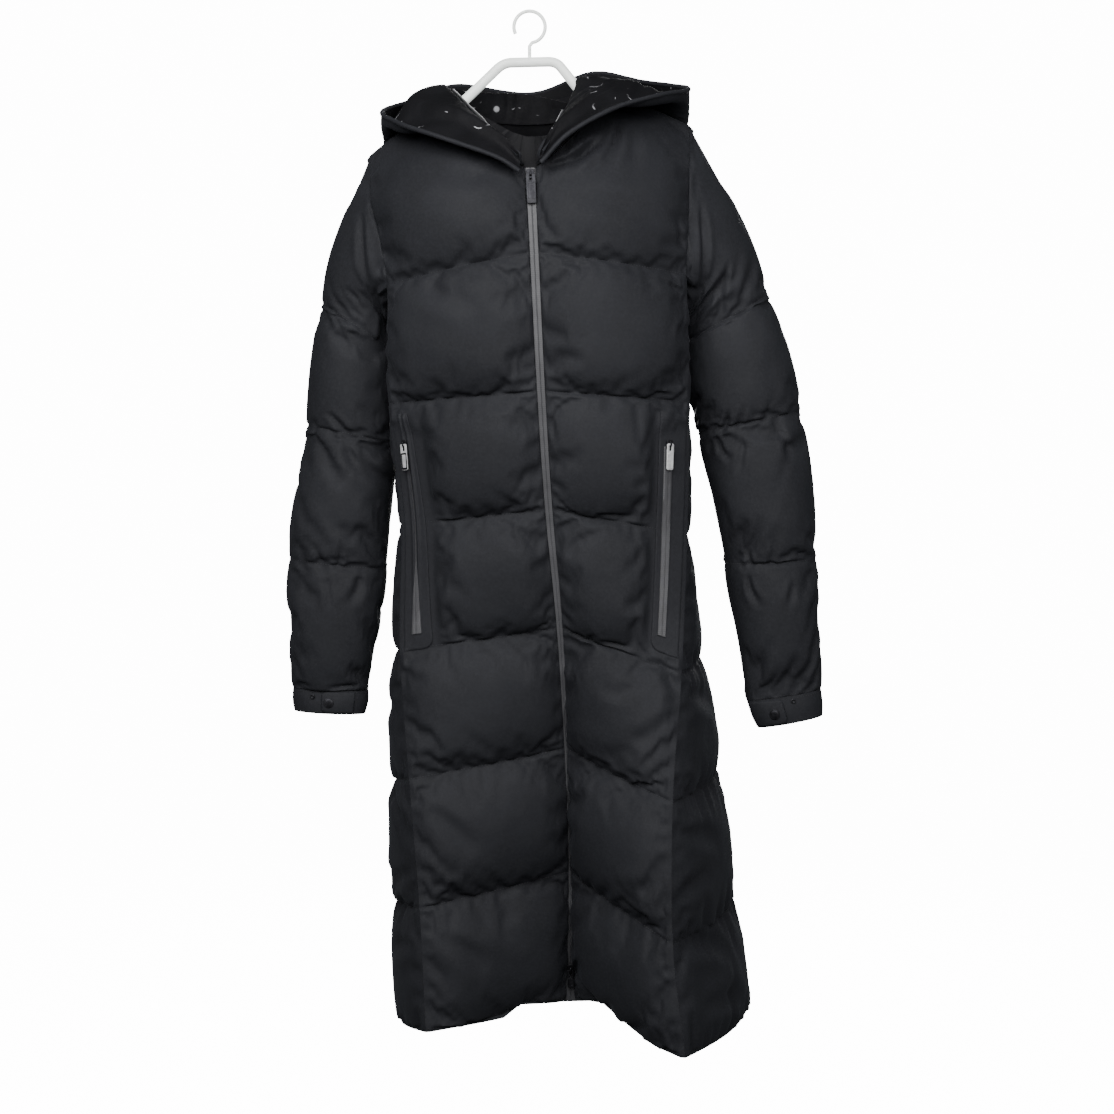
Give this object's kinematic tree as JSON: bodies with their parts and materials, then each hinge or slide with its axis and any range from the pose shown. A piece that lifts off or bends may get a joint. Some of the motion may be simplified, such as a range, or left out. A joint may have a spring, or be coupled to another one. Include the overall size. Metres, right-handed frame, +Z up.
{
  "type": "long hooded puffer coat on a hanger",
  "caption": "Dark quilted hooded coat, knee length, with a front zip, zipped side pockets and snapped cuff tabs, hanging on a plain white hanger.",
  "frame": {"origin": "inside of the top of the hanger's hook, where a rail carries it", "axes": "+Z up, the coat's front looks to -Y, +X to the viewer's right"},
  "size_m": [0.6875, 0.3927, 1.2783],
  "materials": {
    "shell": "matt woven shell",
    "lining": "smooth lining",
    "zip_tape": "coated zip tape",
    "dark_metal": "satin dark grey",
    "hanger": "smooth white"
  },
  "bodies": {
    "coat": {"back": "shell", "front_left": "shell", "front_right": "shell", "side_left": "shell", "side_right": "shell", "sleeve_left": "shell", "sleeve_right": "shell", "cuff_left": "shell", "cuff_right": "shell", "cuff_tab_left": "shell", "cuff_tab_right": "shell", "hood_left": "shell", "hood_centre": "shell", "hood_right": "shell", "hood_edge": "shell", "pocket_facing_left": "shell", "pocket_facing_right": "shell", "inner_collar": "lining", "main_zip": "zip_tape", "zip_top_left": "zip_tape", "zip_top_right": "zip_tape", "pocket_zip_left": "zip_tape", "pocket_zip_right": "zip_tape", "main_slider": "dark_metal", "bottom_slider": "dark_metal", "pocket_slider_left": "dark_metal", "pocket_slider_right": "dark_metal", "cuff_snap_left": "dark_metal", "cuff_snap_right": "dark_metal", "cuff_stud_left": "dark_metal", "cuff_stud_right": "dark_metal", "hanger_bar": "hanger", "hanger_hook": "hanger"},
    "main_pull": {"main_pull": "dark_metal"},
    "bottom_pull": {"bottom_pull": "dark_metal"},
    "pocket_pull_left": {"pocket_pull_left": "dark_metal"},
    "pocket_pull_right": {"pocket_pull_right": "dark_metal"}
  },
  "joints": [
    {"name": "main_pull_swing", "type": "hinge", "parent": "coat", "child": "main_pull", "pos_m": [0.00248, -0.1137, -0.21077], "axis": [-0.9988, -0.0093, -0.0472], "range_deg": [0, 130]},
    {"name": "bottom_pull_swing", "type": "hinge", "parent": "coat", "child": "bottom_pull", "pos_m": [0.05072, -0.05532, -1.18139], "axis": [-0.9984, -0.0568, -0.0075], "range_deg": [0, 130]},
    {"name": "pocket_pull_left_swing", "type": "hinge", "parent": "coat", "child": "pocket_pull_left", "pos_m": [-0.15108, -0.0874, -0.52954], "axis": [-0.8122, 0.5751, -0.0976], "range_deg": [0, 130]},
    {"name": "pocket_pull_right_swing", "type": "hinge", "parent": "coat", "child": "pocket_pull_right", "pos_m": [0.16926, -0.10371, -0.52891], "axis": [-0.8899, -0.4548, 0.0349], "range_deg": [0, 130]}
  ]
}
